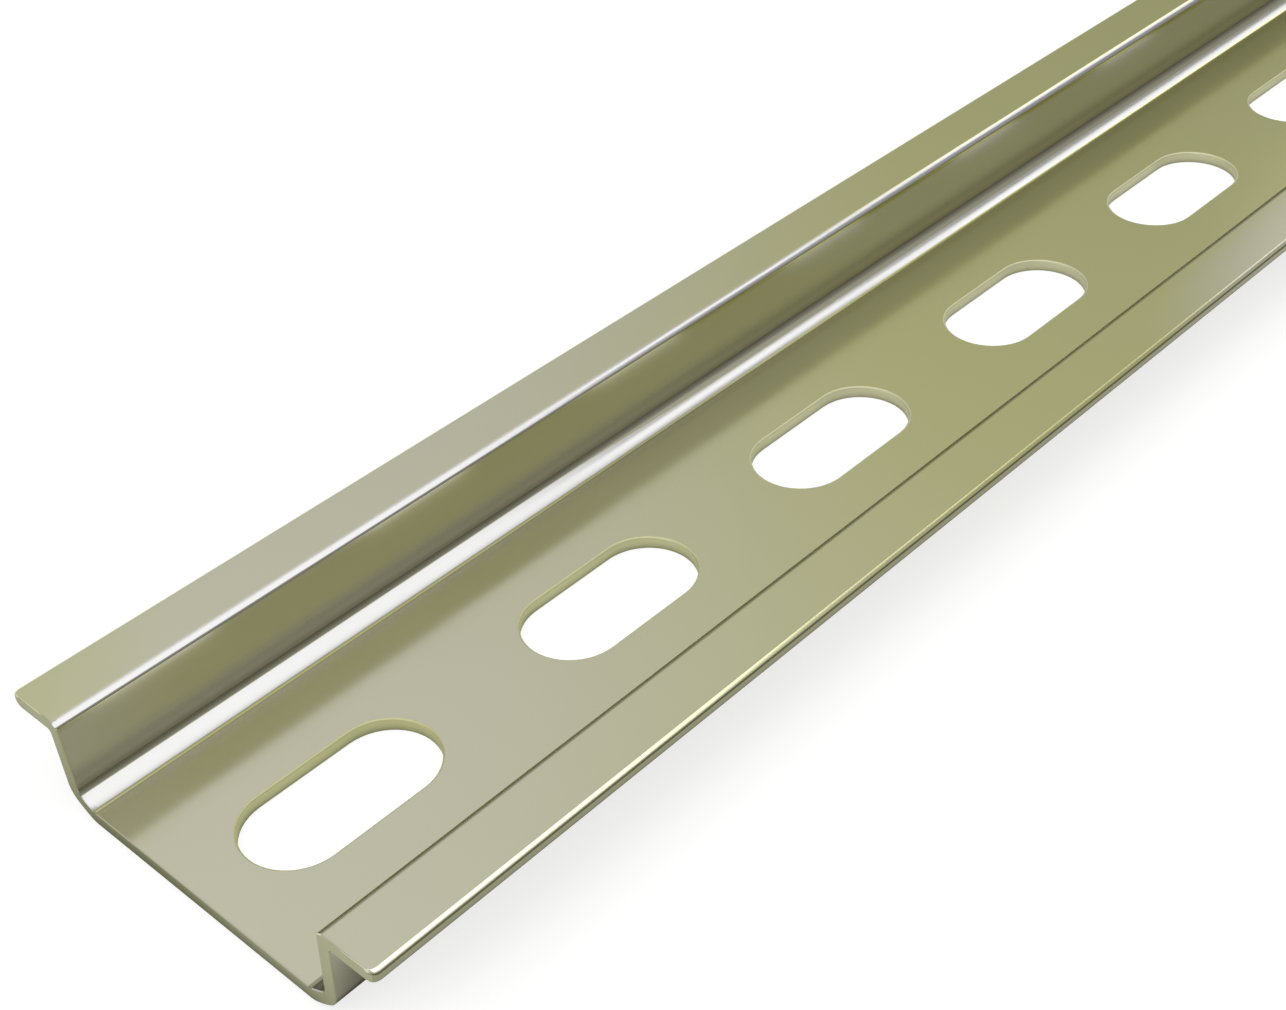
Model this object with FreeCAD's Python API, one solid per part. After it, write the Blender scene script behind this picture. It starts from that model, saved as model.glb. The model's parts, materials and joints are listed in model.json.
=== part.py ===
# Slotted top-hat mounting rail, 35 mm wide and 7.5 mm high: one strip of steel, rolled into a
# hat section with two flanges, with a row of oblong slots punched through its base.
# Millimetres. +X runs along the rail, +Y across it and +Z up. The origin is the middle of the
# base's underside, which is the face that lies on a mounting plate.
import FreeCAD, Part
import math
import os

Vec = FreeCAD.Vector
UP = Vec(0, 0, 1)

# The bar and its rolled section
rail_length = 500.0
rail_width = 35.0  # over the tips of the two flanges
rail_height = 7.5  # from the base's underside to the flanges' top
strip_thickness = 1.0
hat_width = 27.0  # over the outside of the webs, right under the flanges
web_draft_deg = 4.0  # the webs lean out by this much towards the flanges
base_bend_inner_r = 2.0  # the bend's outer skin runs parallel to it
flange_hollow_r = 0.3  # under the flange, where it meets the web
flange_corner_r = 0.9  # the same bend's outer side, which the last rolls press sharper
strip_edge_r = 0.42  # rounding along the strip's slit edges, at the flange tips

# The row of slots in the base
slot_pitch = 25.0
slot_length = 15.0
slot_width = 7.5
first_slot_centre = 11.5  # from the cut end at -X to the centre of the first slot
punch_clearance = 1.0  # how far the punch runs past both faces of the base


def web_outer_y(z):
    """Distance from the middle of the rail to a web's outer skin, at height z."""
    below_flange = rail_height - strip_thickness - z
    return hat_width / 2 - below_flange * math.tan(math.radians(web_draft_deg))


def web_inner_y(z):
    """The same for the web's inner skin, one strip thickness further in."""
    return web_outer_y(z) - strip_thickness / math.cos(math.radians(web_draft_deg))


def half_section_corners():
    """Corners of the right half's outline as (y, z, radius): the lower skin out to the flange
    tip, then the upper skin back in."""
    tip_y = rail_width / 2
    flange_underside = rail_height - strip_thickness
    return [
        (web_outer_y(0), 0, base_bend_inner_r + strip_thickness),
        (web_outer_y(flange_underside), flange_underside, flange_hollow_r),
        (tip_y, flange_underside, strip_edge_r),
        (tip_y, rail_height, strip_edge_r),
        (web_inner_y(rail_height), rail_height, flange_corner_r),
        (web_inner_y(strip_thickness), strip_thickness, base_bend_inner_r),
    ]


def rounded_outline(corners):
    """Closed wire in the YZ plane through the corners, each rounded by its own tangent arc."""
    points = [Vec(0, y, z) for y, z, radius in corners]
    edges = []
    arcs = []
    for i, (y, z, radius) in enumerate(corners):
        to_last = (points[i - 1] - points[i]).normalize()
        to_next = (points[(i + 1) % len(points)] - points[i]).normalize()
        half_angle = to_last.getAngle(to_next) / 2
        reach = radius / math.tan(half_angle)
        towards_centre = (to_last + to_next).normalize()
        middle = points[i] + towards_centre * (radius / math.sin(half_angle) - radius)
        arcs.append((points[i] + to_last * reach, middle, points[i] + to_next * reach))
    for i, arc in enumerate(arcs):
        edges.append(Part.LineSegment(arcs[i - 1][2], arc[0]).toShape())
        edges.append(Part.Arc(*arc).toShape())
    return Part.Wire(edges)


def rolled_strip():
    """The whole section, mirrored about the middle, drawn out to the bar's length."""
    right = half_section_corners()
    left = [(-y, z, radius) for y, z, radius in reversed(right)]
    section = Part.Face(rounded_outline(right + left))
    section.translate(Vec(-rail_length / 2, 0, 0))
    return section.extrude(Vec(rail_length, 0, 0))


def slot_punch(centre_x):
    """One oblong punch with round ends, through the base from below to above."""
    straight = slot_length - slot_width
    r = slot_width / 2
    low = Vec(centre_x - straight / 2, 0, -punch_clearance)
    high = Vec(centre_x + straight / 2, 0, -punch_clearance)
    across = Vec(0, r, 0)
    along = Vec(r, 0, 0)
    outline = Part.Wire([
        Part.LineSegment(low - across, high - across).toShape(),
        Part.Arc(high - across, high + along, high + across).toShape(),
        Part.LineSegment(high + across, low + across).toShape(),
        Part.Arc(low + across, low - along, low - across).toShape(),
    ])
    return Part.Face(outline).extrude(UP * (strip_thickness + 2 * punch_clearance))


def slot_centres():
    """Places of the slots along X: at equal pitch from the first, as far as whole slots fit."""
    room = rail_length - first_slot_centre - slot_length / 2
    count = int(room // slot_pitch) + 1
    return [first_slot_centre - rail_length / 2 + i * slot_pitch for i in range(count)]


top_hat_rail = rolled_strip().cut([slot_punch(x) for x in slot_centres()])

os.makedirs("parts", exist_ok=True)
top_hat_rail.exportStep("parts/top_hat_rail.step")
print("solids", len(top_hat_rail.Solids), "valid", top_hat_rail.isValid())
print("volume mm3", round(top_hat_rail.Volume, 1), "slots", len(slot_centres()))
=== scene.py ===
# A bar of slotted top-hat mounting rail on a white table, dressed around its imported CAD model.
# Everything is in metres, in the model's own frame: +X along the bar, +Y across it, +Z up.
import json
import math

import bmesh
import bpy
from mathutils import Matrix, Vector


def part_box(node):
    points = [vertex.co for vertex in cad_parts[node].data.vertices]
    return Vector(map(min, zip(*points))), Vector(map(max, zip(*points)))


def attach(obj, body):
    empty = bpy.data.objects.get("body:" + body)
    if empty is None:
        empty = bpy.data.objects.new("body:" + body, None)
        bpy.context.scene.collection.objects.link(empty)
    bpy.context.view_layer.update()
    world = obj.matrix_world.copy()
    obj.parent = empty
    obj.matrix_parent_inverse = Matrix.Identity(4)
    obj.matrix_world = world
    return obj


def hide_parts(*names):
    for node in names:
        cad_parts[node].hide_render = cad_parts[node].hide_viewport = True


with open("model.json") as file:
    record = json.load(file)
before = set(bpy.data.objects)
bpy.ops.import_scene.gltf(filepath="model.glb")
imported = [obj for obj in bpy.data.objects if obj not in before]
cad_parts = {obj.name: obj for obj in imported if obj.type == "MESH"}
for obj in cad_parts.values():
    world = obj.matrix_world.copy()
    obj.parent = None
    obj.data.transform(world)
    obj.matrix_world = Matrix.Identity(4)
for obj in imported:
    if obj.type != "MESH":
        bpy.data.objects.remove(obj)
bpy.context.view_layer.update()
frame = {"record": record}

# The rail. One strip of cold-rolled steel a millimetre thick, roll-formed into a hat section with
# two flanges, pierced with a row of oblong slots and cut to length. It is then zinc plated and
# passivated to a pale straw yellow, cut faces and all.
rail_low, rail_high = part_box("top_hat_rail")
near_end_x, far_end_x = rail_low.x, rail_high.x
flange_tip_y = rail_high.y
rail_height = rail_high.z
strip_thickness = 0.001
under_flange_z = rail_height - strip_thickness
web_top_y = 0.0135  # outside of the web, right under the flange
web_lean = math.tan(math.radians(4))

# The rolls draw each bend in three passes, the middle one nearly flat: (radius, degrees of turn),
# from the flat face to the web.
base_bend = ((0.0009, 23), (0.0062, 11), (0.0007, 52))  # inside of the bend
flange_corner = ((0.00025, 23), (0.0026, 11), (0.00025, 52))
flange_hollow = ((0.0003, 86),)  # the other side of the same bend
slit_edge_r = 0.00042  # the strip's slit edges, rounded by the rolls
slit_edge = ((slit_edge_r, 90),)
slit_edge_on_top = ((0.00025, 56), (0.0014, 11), (0.0002, 23))  # pressed like the bends
bend_step_deg = 6  # each arc of a bend is drawn in steps of about this turn
least_bend_steps = 3

sawn_edge_break = 0.00006  # the file's touch round the cut ends
filed_corner_r = 0.0005  # the flanges' four corners, rounded off when the bar was cut
filed_from_y = flange_tip_y - 1.1 * slit_edge_r  # the file reaches just past the slit edge
slit_face_depth = 0.00012  # in from the flange's tip, the face that the slitter left
upward_share = 0.3  # a face at the cut that points up less than this is finished like the cut
sharp_edge_deg = 40  # a sharper turn than this keeps its hard line

# The slots stand where the record's fixing mounts say, in pairs counted from the two ends.
fixing = {m["name"]: m for m in frame["record"]["mounts"] if m["kind"] == "bolt_pattern"}
pair_1, pair_2 = fixing["fixing_slots_1"], fixing["fixing_slots_2"]
spacing_1, spacing_2 = (pair["dims"]["spacing_x_mm"] / 1000 for pair in (pair_1, pair_2))
slot_r = pair_1["dims"]["hole_r_mm"] / 1000
slot_length = pair_1["dims"]["slot_length_mm"] / 1000
slot_pitch = (spacing_1 - spacing_2) / 2
slot_count = round(spacing_1 / slot_pitch) + 1
first_slot_x = pair_1["pos_m"][0] - spacing_1 / 2
slot_centres = [first_slot_x + slot_pitch * i for i in range(slot_count)]
slot_end_steps = 24  # steps round each of a slot's half-round ends
punch_roll_over = 0.00017  # the soft lip that the punch draws down round a slot's top edge
roll_over_steps = 4
fracture_land = 0.0003  # the lowest part of the slot's wall, where the slug tore away
fracture_flare = 0.00004

# The mesh's finishes, in the order that the rail's object holds their materials.
skin_finish, wall_finish, cut_finish, slit_finish = range(4)


def web_outside(z):
    """How far the web's outer skin is from the middle of the rail, at height z."""
    return web_top_y + (z - under_flange_z) * web_lean


def web_inside(z):
    """The same for its inner skin."""
    return web_outside(z) - strip_thickness * math.hypot(1, web_lean)


def round_corners(corners):
    """Closed outline through (y, z, bend) corners. A bend is a run of arcs, each a radius and the
    degrees that it turns."""
    outline = []
    for i, (y, z, bend) in enumerate(corners):
        corner = Vector((y, z))
        arriving = (corner - Vector(corners[i - 1][:2])).normalized()
        leaving = (Vector(corners[(i + 1) % len(corners)][:2]) - corner).normalized()
        whole_turn = -arriving.angle_signed(leaving)
        inward = Matrix.Rotation(math.copysign(math.pi / 2, whole_turn), 2)
        heading = arriving
        run = [Vector((0, 0))]
        for radius, degrees in bend:
            turn = whole_turn * degrees / sum(part for _, part in bend)
            centre = run[-1] + inward @ heading * radius
            spoke = run[-1] - centre
            steps = max(least_bend_steps, round(math.degrees(abs(turn)) / bend_step_deg))
            for step in range(1, steps + 1):
                run.append(centre + Matrix.Rotation(turn * step / steps, 2) @ spoke)
            heading = Matrix.Rotation(turn, 2) @ heading
        # The run starts where its end comes to lie on the line that leaves the corner.
        start = corner - arriving * (run[-1].cross(leaving) / arriving.cross(leaving))
        outline += [start + point for point in run]
    return outline


def hat_outline():
    """Outline of the section: along the underside to the left flange, back over its top, and on.
    Left is +Y, as the bar is seen from its near end."""
    outer_base_bend = tuple((r + strip_thickness, degrees) for r, degrees in base_bend)
    left = [
        (web_outside(0), 0, outer_base_bend),
        (web_outside(under_flange_z), under_flange_z, flange_hollow),
        (flange_tip_y, under_flange_z, slit_edge),
        (flange_tip_y, rail_height, slit_edge_on_top),
        (web_inside(rail_height), rail_height, flange_corner),
        (web_inside(strip_thickness), strip_thickness, base_bend[::-1]),
    ]
    right = [(-y, z, bend[::-1]) for y, z, bend in reversed(left)]
    return round_corners(left + right)


def base_faces(outline):
    """The base's underside and top: where the outline crosses the middle of the rail."""
    return [i for i, point in enumerate(outline) if point.x * outline[(i + 1) % len(outline)].x < 0]


def stations_along_bar():
    """Where the section is drawn: closely at the cut ends, for their filed edges and corners, and
    then midway between the slots."""
    from_cut = [0, sawn_edge_break, filed_corner_r / 4, filed_corner_r / 2, filed_corner_r]
    between_slots = [centre + slot_pitch / 2 for centre in slot_centres[:-1]]
    near_cut = [near_end_x + reach for reach in from_cut]
    far_cut = [far_end_x - reach for reach in reversed(from_cut)]
    return near_cut + between_slots + far_cut


def section_row(bm, outline, x):
    """The section's vertices at x. The cuts' edges are broken, and the flanges' corners filed."""
    to_cut = min(x - near_end_x, far_end_x - x)
    round_share = min(max(1 - to_cut / filed_corner_r, 0), 1)
    filed_off = filed_corner_r * (1 - math.sqrt(1 - round_share**2))
    row = []
    for i, point in enumerate(outline):
        if to_cut == 0:
            along = (outline[(i + 1) % len(outline)] - outline[i - 1]).normalized()
            point = point + Vector((-along.y, along.x)) * sawn_edge_break
        y, z = point
        if abs(y) > filed_from_y:
            y -= math.copysign(filed_off, y)
        row.append(bm.verts.new((x, y, z)))
    return row


def roll_skin(bm, outline, near, far, beside_cut, open_faces):
    """The strip's faces from one row of the section to the next, apart from the open ones."""
    for i in range(len(outline)):
        if i in open_faces:
            continue
        j = (i + 1) % len(outline)
        face = bm.faces.new((near[i], near[j], far[j], far[i]))
        edge = outline[j] - outline[i]
        finish = skin_finish
        if beside_cut and -edge.x / edge.length < upward_share:
            finish = cut_finish
        elif flange_tip_y - min(abs(outline[i].x), abs(outline[j].x)) < slit_face_depth:
            finish = slit_finish
        face.material_index = finish


def slot_ring(bm, centre_x, grow, z):
    """One closed ring of vertices round a slot, grow metres outside its wall."""
    half_straight = slot_length / 2 - slot_r
    r = slot_r + grow
    ring = []
    for end in (1, -1):
        for step in range(slot_end_steps + 1):
            a = math.radians(180 * step / slot_end_steps - 90)
            x = centre_x + end * (half_straight + r * math.cos(a))
            ring.append(bm.verts.new((x, end * r * math.sin(a), z)))
    return ring


def slot_wall_rings(bm, centre_x):
    """Rings over the rolled lip, down the sheared wall and out to the flare of the fracture."""
    rings = []
    for step in range(roll_over_steps + 1):
        a = math.radians(90 * step / roll_over_steps)
        lip = punch_roll_over * (1 - math.sin(a))
        drop = punch_roll_over * (1 - math.cos(a))
        rings.append(slot_ring(bm, centre_x, lip, strip_thickness - drop))
    rings.append(slot_ring(bm, centre_x, 0, fracture_land))
    rings.append(slot_ring(bm, centre_x, fracture_flare, 0))
    return rings


def close_loop(bm, verts):
    """The edges round a loop of vertices, new where the mesh has none yet."""
    edges = []
    for i, vert in enumerate(verts):
        edges.append(bm.edges.get((verts[i - 1], vert)) or bm.edges.new((verts[i - 1], vert)))
    return edges


def punch_slot(bm, outline, near, far, centre_x):
    """One slot's wall, and the base's underside and top round it, between two rows."""
    rings = slot_wall_rings(bm, centre_x)
    for upper, lower in zip(rings, rings[1:]):
        for i in range(len(upper)):
            face = bm.faces.new((upper[i - 1], upper[i], lower[i], lower[i - 1]))
            face.material_index = wall_finish
    for i in base_faces(outline):
        j = (i + 1) % len(outline)
        plate = close_loop(bm, [near[i], near[j], far[j], far[i]])
        on_top = outline[i].y > strip_thickness / 2
        slot_edge = close_loop(bm, rings[0] if on_top else rings[-1])
        bmesh.ops.triangle_fill(bm, use_beauty=True, edges=plate + slot_edge, normal=(0, 0, 1))


def roll_and_punch_strip():
    """The whole bar as one mesh: rolled skin, pierced base and sawn ends."""
    bm = bmesh.new()
    outline = hat_outline()
    stations = stations_along_bar()
    rows = [section_row(bm, outline, x) for x in stations]
    for n, (near, far) in enumerate(zip(rows, rows[1:])):
        beside_cut = n in (0, len(rows) - 2)
        slots_here = [x for x in slot_centres if stations[n] < x < stations[n + 1]]
        open_faces = base_faces(outline) if slots_here else []
        roll_skin(bm, outline, near, far, beside_cut, open_faces)
        for centre_x in slots_here:
            punch_slot(bm, outline, near, far, centre_x)
    for row in (rows[0], rows[-1]):
        bm.faces.new(row).material_index = cut_finish

    bmesh.ops.recalc_face_normals(bm, faces=bm.faces)
    mesh = bpy.data.meshes.new("slotted_top_hat_rail")
    bm.to_mesh(mesh)
    bm.free()
    mesh.shade_smooth()
    mesh.set_sharp_from_angle(angle=math.radians(sharp_edge_deg))
    return mesh


def plug(tree, socket, value):
    """Links a socket to another node's output, or sets it to a plain value."""
    if isinstance(value, bpy.types.NodeSocket):
        tree.links.new(value, socket)
    else:
        socket.default_value = value


def add_math(tree, operation, *operands):
    """Adds a Math node over sockets and plain numbers, and gives back its result."""
    node = tree.nodes.new("ShaderNodeMath")
    node.operation = operation
    for socket, operand in zip(node.inputs, operands):
        plug(tree, socket, operand)
    return node.outputs[0]


def add_vector_math(tree, operation, *operands):
    """The same over places and plain (x, y, z) values."""
    node = tree.nodes.new("ShaderNodeVectorMath")
    node.operation = operation
    for socket, operand in zip(node.inputs, operands):
        plug(tree, socket, operand)
    return node.outputs["Value" if operation in ("DOT_PRODUCT", "LENGTH") else "Vector"]


def add_range(tree, source, start, end, at_start=0, at_end=1, ease="SMOOTHSTEP"):
    """Turns the source's span from start to end into one from at_start to at_end, and no further."""
    node = tree.nodes.new("ShaderNodeMapRange")
    node.interpolation_type = ease
    plug(tree, node.inputs["Value"], source)
    plug(tree, node.inputs["From Min"], start)
    plug(tree, node.inputs["From Max"], end)
    plug(tree, node.inputs["To Min"], at_start)
    plug(tree, node.inputs["To Max"], at_end)
    return node.outputs["Result"]


def add_band(tree, source, rise, fall):
    """A mask that rises over one span of the source and falls again over a later one."""
    return add_math(
        tree, "MULTIPLY", add_range(tree, source, *rise), add_range(tree, source, *fall, 1, 0)
    )


def add_noise(tree, place, scale, detail, roughness=0.5):
    """Adds a soft random pattern over the place, from 0 to 1."""
    node = tree.nodes.new("ShaderNodeTexNoise")
    node.inputs["Scale"].default_value = scale
    node.inputs["Detail"].default_value = detail
    node.inputs["Roughness"].default_value = roughness
    tree.links.new(place, node.inputs["Vector"])
    return node.outputs["Fac"]


def new_group(name, takes, gives):
    """A shader node group with its named inputs (name, kind, value) and outputs (name, kind)."""
    group = bpy.data.node_groups.new(name, "ShaderNodeTree")
    for input_name, kind, value in takes:
        socket = group.interface.new_socket(name=input_name, in_out="INPUT", socket_type=kind)
        if value is not None:
            socket.default_value = value
    for output_name, kind in gives:
        group.interface.new_socket(name=output_name, in_out="OUTPUT", socket_type=kind)
    inlet = group.nodes.new("NodeGroupInput").outputs
    outlet = group.nodes.new("NodeGroupOutput").inputs
    return group, inlet, outlet


def straw_passivation():
    """Group: the passivated zinc's colour, a straw that deepens in slow clouds along the bar. It
    shifts from its Pale colour at the near end to its Deep one, slantwise: on the rolled skin a
    painted sheen that pales the near end, on the cut faces painted shade. A patch on the right
    flange takes the Pale colour, painted to whiten the round fill's reflection there, and the
    corner that held the last drop is deeper."""
    group, inlet, outlet = new_group(
        "straw passivation",
        takes=(
            ("Place", "NodeSocketVector", None),
            ("Pale", "NodeSocketColor", (0.66, 0.65, 0.50, 1)),
            ("Deep", "NodeSocketColor", (0.60, 0.58, 0.30, 1)),
            ("Pale end", "NodeSocketFloat", -0.25),
            ("Deep from", "NodeSocketFloat", -0.15),
        ),
        gives=(("Colour", "NodeSocketColor"),),
    )
    cloud_scale = (14, 40, 40)  # longer along the bar
    cloud_contrast = (0.3, 0.7)
    cloud_depth = 0.12
    drop_span = (-near_end_x + 0.001, -near_end_x + 0.018)  # slantwise, out to the left corner
    drop_depth = 0.6
    # A pale patch on the right flange, painted to whiten the round fill's reflection there.
    pale_patch_centre = (near_end_x + 0.105, -flange_tip_y, rail_height)
    pale_patch_shape = (2, 0.46, 1)
    pale_patch_radii = (0.0055, 0.0145)  # where it starts to fade and where it ends

    stretched = add_vector_math(group, "MULTIPLY", inlet["Place"], cloud_scale)
    clouds = add_noise(group, stretched, scale=1, detail=3, roughness=0.45)
    spread = add_range(group, clouds, *cloud_contrast, -cloud_depth, cloud_depth, ease="LINEAR")

    # The near end's paler colour: a painted sheen on the skin, painted shade on the cut faces.
    slant = add_vector_math(group, "DOT_PRODUCT", inlet["Place"], (1, -1, 0))
    near_end_fade = add_range(group, slant, inlet["Pale end"], inlet["Deep from"])
    towards_corner = add_vector_math(group, "DOT_PRODUCT", inlet["Place"], (-1, 1, 0))
    held_drop = add_range(group, towards_corner, *drop_span, 0, drop_depth)

    mark_space = group.nodes.new("ShaderNodeMapping")
    mark_space.vector_type = "TEXTURE"
    mark_space.inputs["Location"].default_value = pale_patch_centre
    mark_space.inputs["Scale"].default_value = pale_patch_shape
    group.links.new(inlet["Place"], mark_space.inputs["Vector"])
    from_mark = add_vector_math(group, "LENGTH", mark_space.outputs["Vector"])
    pale_patch = add_range(group, from_mark, *pale_patch_radii, -1, 0)

    marks = add_math(group, "ADD", add_math(group, "ADD", near_end_fade, held_drop), pale_patch)
    depth = add_math(group, "ADD", spread, marks)
    depth.node.use_clamp = True
    tint = group.nodes.new("ShaderNodeMix")
    tint.data_type = "RGBA"
    group.links.new(depth, tint.inputs["Factor"])
    group.links.new(inlet["Pale"], tint.inputs["A"])
    group.links.new(inlet["Deep"], tint.inputs["B"])
    group.links.new(tint.outputs["Result"], outlet["Colour"])
    return group


def web_light_and_shade():
    """Group: masks of the inner skin for its painted light and shade. They give the flat middle of
    each bend and the left flange's inner corner a neutral grey, a painted highlight colour, give
    the web its own paler colour, painted light, greyer towards its foot, painted shade, and paint
    shade in the hollow over the bend, a lighter line above that and shade on the bend's toe."""
    masks = ("Shine", "Web", "Foot", "Bend", "Rim", "Toe")
    group, inlet, outlet = new_group(
        "rubbed webs",
        takes=(("Place", "NodeSocketVector", None),),
        gives=[(mask, "NodeSocketFloat") for mask in masks],
    )
    # Spans along the bar, from its near end: the painted shading reaches a little further down the
    # bend after the first, and the painted shade on the toe ends in the second.
    lower_after = (near_end_x + 0.040, near_end_x + 0.062)
    lower_by = 0.00024
    toe_shade_ends = (near_end_x + 0.046, near_end_x + 0.076)
    # Heights over the base's underside, each the span in which a mask rises or falls.
    above_bend_z = (0.00161, 0.00169)
    web_fall_z = (0.0066, 0.0070)
    # Where the painted shade at the web's foot and over the bend ends.
    foot_fall_z = (0.0026, 0.0044)
    bend_fall_z = (0.0018, 0.0028)
    # Where the painted lighter line above the hollow lies.
    rim_z = ((0.00203, 0.00213), (0.0025, 0.0031))
    # Where the painted highlight colour lies: the bends' flat middles and the left flange's inner
    # corner.
    shine_bend_z = ((0.00104, 0.00109), (0.0018, 0.0022))
    shine_corner_z = ((0.00715, 0.0072), (0.00747, 0.00749))
    upper_face_z = (0.0004, 0.0006)
    # Distances from the middle of the rail, with the web's lean taken out: the middle of the strip
    # parts the inner skin from the outer, and the painted shade lies on the bend's toe.
    strip_middle = web_inside(0) + strip_thickness / 2
    within_strip = (strip_middle - 0.0001, strip_middle + 0.0001)
    toe_y = web_inside(0) - 0.0016
    toe_shade_y = ((toe_y - 0.00006, toe_y + 0.00002), (toe_y + 0.00028, toe_y + 0.00034))
    across_middle = (-0.001, 0.001)

    place = group.nodes.new("ShaderNodeSeparateXYZ")
    group.links.new(inlet["Place"], place.inputs[0])
    x, y, z = place.outputs
    off_middle = add_math(group, "ABSOLUTE", y)
    uprighted = add_math(group, "MULTIPLY_ADD", z, -web_lean, off_middle)
    inner_skin = add_range(group, uprighted, *within_strip, 1, 0)

    level = add_math(group, "ADD", z, add_range(group, x, *lower_after, 0, lower_by))
    above_bend = add_range(group, level, *above_bend_z)
    shaded = add_math(group, "MULTIPLY", above_bend, inner_skin)
    # Painted light on the web, and painted shade towards its foot and over the bend.
    for mask, fall in (("Web", web_fall_z), ("Foot", foot_fall_z), ("Bend", bend_fall_z)):
        below = add_range(group, z, *fall, 1, 0)
        group.links.new(add_math(group, "MULTIPLY", shaded, below), outlet[mask])
    # A painted lighter line above the hollow over the bend.
    rim = add_band(group, z, *rim_z)
    group.links.new(add_math(group, "MULTIPLY", rim, inner_skin), outlet["Rim"])

    # A neutral grey under the lamps' highlight on each bend's middle and the left inner corner: a
    # painted highlight colour.
    left_side = add_range(group, y, *across_middle)
    corner = add_math(group, "MULTIPLY", add_band(group, z, *shine_corner_z), left_side)
    shine_band = add_math(group, "ADD", add_band(group, z, *shine_bend_z), corner)
    group.links.new(add_math(group, "MULTIPLY", shine_band, inner_skin), outlet["Shine"])

    # Painted shade on the bend's toe, near the near end only.
    toe = add_band(group, uprighted, *toe_shade_y)
    by_cut = add_range(group, x, *toe_shade_ends, 1, 0)
    upper_face = add_range(group, z, *upper_face_z)
    toe_shade = add_math(group, "MULTIPLY", add_math(group, "MULTIPLY", toe, by_cut), upper_face)
    group.links.new(toe_shade, outlet["Toe"])
    return group


def roller_lines():
    """Group: the fine straight lines that the forming rolls leave along the strip, and the
    plating's duller blotches."""
    group, inlet, outlet = new_group(
        "roller lines",
        takes=(
            ("Place", "NodeSocketVector", None),
            ("Smooth", "NodeSocketFloat", 0.2),
            ("Dull", "NodeSocketFloat", 0.3),
        ),
        gives=(("Roughness", "NodeSocketFloat"), ("Height", "NodeSocketFloat")),
    )
    line_scale = (12, 2600, 2600)  # hair-fine across the strip, long along it
    blotch_scale = 90
    blotch_contrast = (0.35, 0.7)
    stretched = add_vector_math(group, "MULTIPLY", inlet["Place"], line_scale)
    group.links.new(add_noise(group, stretched, scale=1, detail=2), outlet["Height"])
    blotches = add_noise(group, inlet["Place"], scale=blotch_scale, detail=3)
    dullness = add_range(
        group, blotches, *blotch_contrast, inlet["Smooth"], inlet["Dull"], ease="LINEAR"
    )
    group.links.new(dullness, outlet["Roughness"])
    return group


passivation_group = straw_passivation()
web_light_and_shade_group = web_light_and_shade()
roller_group = roller_lines()

# Where the plating is pale and where it has deepened, from the near end, slantwise over the bar.
# On the rolled skin the paler near end is a painted sheen.
near_end_span = (0.012, 0.085)
# On the cut faces the same span paints shade: the near cut darker, lightest towards its right flange.
cut_near_end_span = (-0.008, 0.016)


def passivate(tree, place, pale, deep, near_end_fade):
    """Adds the straw passivation to a finish and gives back its colour."""
    plating = tree.nodes.new("ShaderNodeGroup")
    plating.node_tree = passivation_group
    plating.inputs["Pale"].default_value = pale
    plating.inputs["Deep"].default_value = deep
    plating.inputs["Pale end"].default_value = near_end_x + near_end_fade[0]
    plating.inputs["Deep from"].default_value = near_end_x + near_end_fade[1]
    tree.links.new(place, plating.inputs["Place"])
    return plating.outputs["Colour"]


def plated_finish(name, pale, deep, smooth, dull, line_height, near_end_fade=near_end_span):
    """One finish of the plated steel: the same plating over smooth rolled skin or rougher cuts."""
    finish = bpy.data.materials.new(name)
    finish.use_nodes = True
    tree = finish.node_tree
    shader = tree.nodes["Principled BSDF"]
    shader.inputs["Metallic"].default_value = 1
    place = tree.nodes.new("ShaderNodeTexCoord").outputs["Object"]
    tree.links.new(passivate(tree, place, pale, deep, near_end_fade), shader.inputs["Base Color"])

    rolling = tree.nodes.new("ShaderNodeGroup")
    rolling.node_tree = roller_group
    rolling.inputs["Smooth"].default_value = smooth
    rolling.inputs["Dull"].default_value = dull
    tree.links.new(place, rolling.inputs["Place"])
    tree.links.new(rolling.outputs["Roughness"], shader.inputs["Roughness"])

    bump = tree.nodes.new("ShaderNodeBump")
    bump.inputs["Strength"].default_value = 1
    bump.inputs["Distance"].default_value = line_height
    tree.links.new(rolling.outputs["Height"], bump.inputs["Height"])
    tree.links.new(bump.outputs["Normal"], shader.inputs["Normal"])
    return finish


# The webs' painted light and shade: their own colours under the masks of their group, and their
# roughness.
# Painted highlight colour: neutral grey under the lamps' highlight, so that the highlight shows white.
bend_shine = (0.42, 0.42, 0.415, 1)
# Painted light: the inner webs' own colours, paler and bluer than the skin's away from the near end.
web_pale = (0.65, 0.645, 0.41, 1)
web_deep = (0.77, 0.76, 0.80, 1)
# Painted shade: greyer low on the web, and darker in the hollow over the bend.
foot_grey = (0.50, 0.49, 0.44, 1)
bend_grey = (0.29, 0.285, 0.21, 1)
# Painted light: a paler line above that hollow.
rim_grey = (0.62, 0.60, 0.54, 1)
# Painted shade on the bend's toe, near the near end.
toe_shade_colour = (0.37, 0.365, 0.23, 1)
web_gloss = 0.14
foot_dull = 0.32


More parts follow.
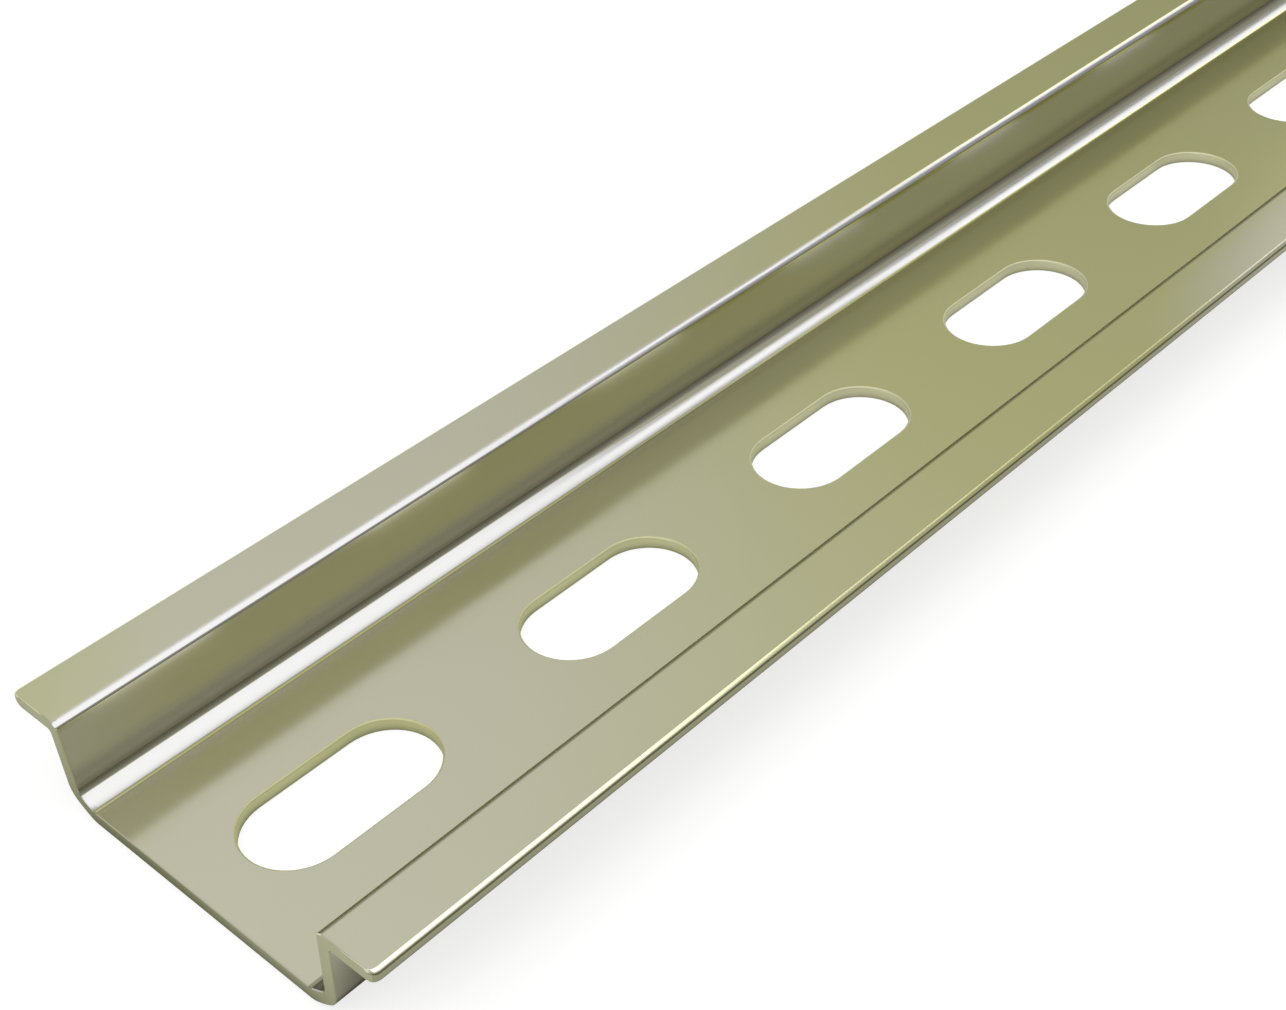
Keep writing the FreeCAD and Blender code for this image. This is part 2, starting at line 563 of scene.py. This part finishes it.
def paint_web_light_and_shade(finish):
    """Lays the webs' painted light and shade, and their own gloss, over a plated finish."""
    tree = finish.node_tree
    shader = tree.nodes["Principled BSDF"]
    place = tree.nodes.new("ShaderNodeTexCoord").outputs["Object"]
    shaded = tree.nodes.new("ShaderNodeGroup")
    shaded.node_tree = web_light_and_shade_group
    tree.links.new(place, shaded.inputs["Place"])
    for mask, colour in (
        ("Shine", bend_shine),
        ("Web", passivate(tree, place, web_pale, web_deep, near_end_span)),
        ("Foot", foot_grey),
        ("Bend", bend_grey),
        ("Rim", rim_grey),
        ("Toe", toe_shade_colour),
    ):
        over = tree.nodes.new("ShaderNodeMix")
        over.data_type = "RGBA"
        tree.links.new(shaded.outputs[mask], over.inputs["Factor"])
        tree.links.new(shader.inputs["Base Color"].links[0].from_socket, over.inputs["A"])
        plug(tree, over.inputs["B"], colour)
        tree.links.new(over.outputs["Result"], shader.inputs["Base Color"])
    for mask, roughness in (("Web", web_gloss), ("Foot", foot_dull)):
        over = tree.nodes.new("ShaderNodeMix")
        tree.links.new(shaded.outputs[mask], over.inputs["Factor"])
        tree.links.new(shader.inputs["Roughness"].links[0].from_socket, over.inputs["A"])
        over.inputs["B"].default_value = roughness
        tree.links.new(over.outputs["Result"], shader.inputs["Roughness"])


rolled_skin = plated_finish(
    "rolled skin",
    pale=(0.66, 0.645, 0.49, 1),
    deep=(0.59, 0.585, 0.27, 1),
    smooth=0.15,
    dull=0.18,
    line_height=0.0000004,
)
paint_web_light_and_shade(rolled_skin)

# The rolled skin carries the bath's clear seal, which the rougher cut faces don't hold.
sealed = rolled_skin.node_tree.nodes["Principled BSDF"]
sealed.inputs["Coat Weight"].default_value = 0.7
sealed.inputs["Coat Roughness"].default_value = 0.12
sealed.inputs["Specular Tint"].default_value = (0.6, 0.6, 0.4, 1)

pierced_walls = plated_finish(
    "pierced slot walls",
    pale=(0.62, 0.62, 0.35, 1),
    deep=(0.70, 0.69, 0.47, 1),
    smooth=0.55,
    dull=0.65,
    line_height=0.000003,
)
# The cut faces are darker than the skin: partly their duller sawn face, partly painted shade.
sawn_ends = plated_finish(
    "sawn ends",
    pale=(0.235, 0.24, 0.108, 1),
    deep=(0.38, 0.385, 0.23, 1),
    smooth=0.4,
    dull=0.55,
    line_height=0.000003,
    near_end_fade=cut_near_end_span,
)
# Darker than the skin: partly the duller face that the slitter leaves, partly painted shade over the
# white board it mirrors.
slit_edges = plated_finish(
    "slit edges",
    pale=(0.27, 0.27, 0.165, 1),
    deep=(0.25, 0.25, 0.145, 1),
    smooth=0.2,
    dull=0.26,
    line_height=0.000001,
)

rail = bpy.data.objects.new("slotted_rail", roll_and_punch_strip())
bpy.context.scene.collection.objects.link(rail)
for finish in (rolled_skin, pierced_walls, sawn_ends, slit_edges):
    rail.data.materials.append(finish)
flat_faces = rail.modifiers.new("flat faces stay flat", "WEIGHTED_NORMAL")
flat_faces.keep_sharp = True
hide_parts("top_hat_rail")
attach(rail, "root")

# The table. A wide sheet of matt white board that the bar lies flat on.
# The camera and the metal see it as plain white, with the bar's soft shadow, and the metal sees it
# darker close under the bar: painted shade, where its white lift fades.
board_half = 30
board_z = rail_low.z - 0.00002  # a hair under the bar, so that the two faces stay apart
board_mesh = bpy.data.meshes.new("white_board")
board_mesh.from_pydata(
    [(x * board_half, y * board_half, board_z) for x, y in ((-1, -1), (1, -1), (1, 1), (-1, 1))],
    [],
    [(0, 1, 2, 3)],
)
board = bpy.data.objects.new("white_board", board_mesh)
bpy.context.scene.collection.objects.link(board)


def matt_board():
    """Mid-grey paint that is lifted to white where the camera or a mirroring face sees it. For a
    mirroring face the lift fades close under the bar, which paints shade there.
    """
    board_paint = bpy.data.materials.new("matt white board")
    board_paint.use_nodes = True
    tree = board_paint.node_tree
    paint = tree.nodes["Principled BSDF"]
    paint.inputs["Base Color"].default_value = (0.34, 0.34, 0.34, 1)
    paint.inputs["Roughness"].default_value = 0.9
    paint.inputs["Specular IOR Level"].default_value = 0.1
    paint.inputs["Emission Color"].default_value = (1, 1, 1, 1)
    full_lift = 0.75
    shade_reach = 0.01  # how near to the bar the metal sees the board in shade
    shaded_to_open = (0.45, 0.95)

    seen_by = tree.nodes.new("ShaderNodeLightPath").outputs
    mirrored = add_math(tree, "MAXIMUM", seen_by["Is Glossy Ray"], seen_by["Is Transmission Ray"])
    open_board = tree.nodes.new("ShaderNodeAmbientOcclusion")
    open_board.samples = 8
    open_board.inputs["Distance"].default_value = shade_reach
    openness = add_range(tree, open_board.outputs["AO"], *shaded_to_open, ease="LINEAR")
    # For mirroring faces the lift fades near the bar: painted shade.
    mirrored_lift = add_math(tree, "MULTIPLY", mirrored, openness)
    seen_lift = add_math(tree, "MAXIMUM", seen_by["Is Camera Ray"], mirrored_lift)
    lift = add_math(tree, "MULTIPLY", seen_lift, full_lift)
    tree.links.new(lift, paint.inputs["Emission Strength"])
    return board_paint


board_mesh.materials.append(matt_board())

# The light. A pale room, brighter overhead than at the horizon, which the camera sees as white.
# Soft boxes hang end to end a metre up, to one side of the bar, and draw the bright lines down its
# bends. Over the bar itself there is none, so the flats stay at their own colour.
room = bpy.data.worlds.new("pale room")
room.use_nodes = True
bpy.context.scene.world = room
room_tree = room.node_tree
sky = room_tree.nodes["Background"]
brightest_towards = (-0.1, 0.35, 0.87)
horizon, overhead = 0.19, 0.87
direction = room_tree.nodes.new("ShaderNodeTexCoord").outputs["Generated"]
upward = add_vector_math(room_tree, "DOT_PRODUCT", direction, brightest_towards)
brightness = add_range(room_tree, upward, -0.2, 1, horizon, overhead, ease="LINEAR")
seen_by_camera = room_tree.nodes.new("ShaderNodeLightPath").outputs["Is Camera Ray"]
white_beyond = add_math(room_tree, "MAXIMUM", brightness, seen_by_camera)
grey = room_tree.nodes.new("ShaderNodeCombineColor")
for channel in ("Red", "Green", "Blue"):
    room_tree.links.new(white_beyond, grey.inputs[channel])
room_tree.links.new(grey.outputs["Color"], sky.inputs["Color"])
sky.inputs["Strength"].default_value = 1


def hang_lamp(name, shape, radiance, width, depth, place, turn=(0, 0, 0)):
    """An area lamp, facing down unless turned, whose face shows the given radiance."""
    light = bpy.data.lights.new(name, "AREA")
    light.shape = shape
    light.size = width
    light.size_y = depth
    area = math.pi * (width / 2) ** 2 if shape == "DISK" else width * depth
    light.energy = radiance * math.pi * area
    lamp = bpy.data.objects.new(name, light)
    lamp.location = place
    lamp.rotation_euler = turn
    bpy.context.scene.collection.objects.link(lamp)


soft_box_z = 1.0
for name, radiance, low_x, high_x, low_y, high_y in (
    ("back soft box", 1.8, -3.0, -0.6, -0.07, 0.39),
    ("near soft box", 1.45, -0.6, 0.5, -0.51, -0.06),
    ("middle soft box", 1.8, 0.5, 0.78, -0.24, -0.09),
    ("far soft box", 1.8, 0.78, 1.05, -0.17, 0.02),
    ("end soft box", 1.8, 1.05, 3.0, -0.17, 0.20),
):
    middle = ((low_x + high_x) / 2, (low_y + high_y) / 2, soft_box_z)
    hang_lamp(name, "RECTANGLE", radiance, high_x - low_x, high_y - low_y, middle)
hang_lamp(
    "dim side board", "RECTANGLE", 0.14, 5, 1.4, (1.8, -1.6, 1.25), turn=(math.radians(90), 0, 0)
)
fill_place = Vector((1.43, 0.56, 1.0))
towards_bar = fill_place.to_track_quat("Z", "Y").to_euler()
hang_lamp("round fill", "DISK", 0.35, 0.3, 0.3, fill_place, turn=towards_bar)

# The camera. Held close over the near end of the bar, looking along it and down, and tipped a
# little to one side, so that the bar runs from the lower left out of the top right corner. Its
# place, turn and lens were fitted to the bar's edges and slots as the photograph shows them.
lens = bpy.data.cameras.new("camera")
lens.sensor_fit = "HORIZONTAL"
lens.sensor_width = 36
lens.lens = 56.8535
lens.clip_start = 0.005
lens.clip_end = 100
camera = bpy.data.objects.new("camera", lens)
camera.location = (-0.2896866, -0.0793179, 0.0938764)
camera.rotation_euler = (math.radians(52.2792), math.radians(2.5893), math.radians(-47.2497))
bpy.context.scene.collection.objects.link(camera)
bpy.context.scene.camera = camera
bpy.context.scene.view_settings.view_transform = "Standard"
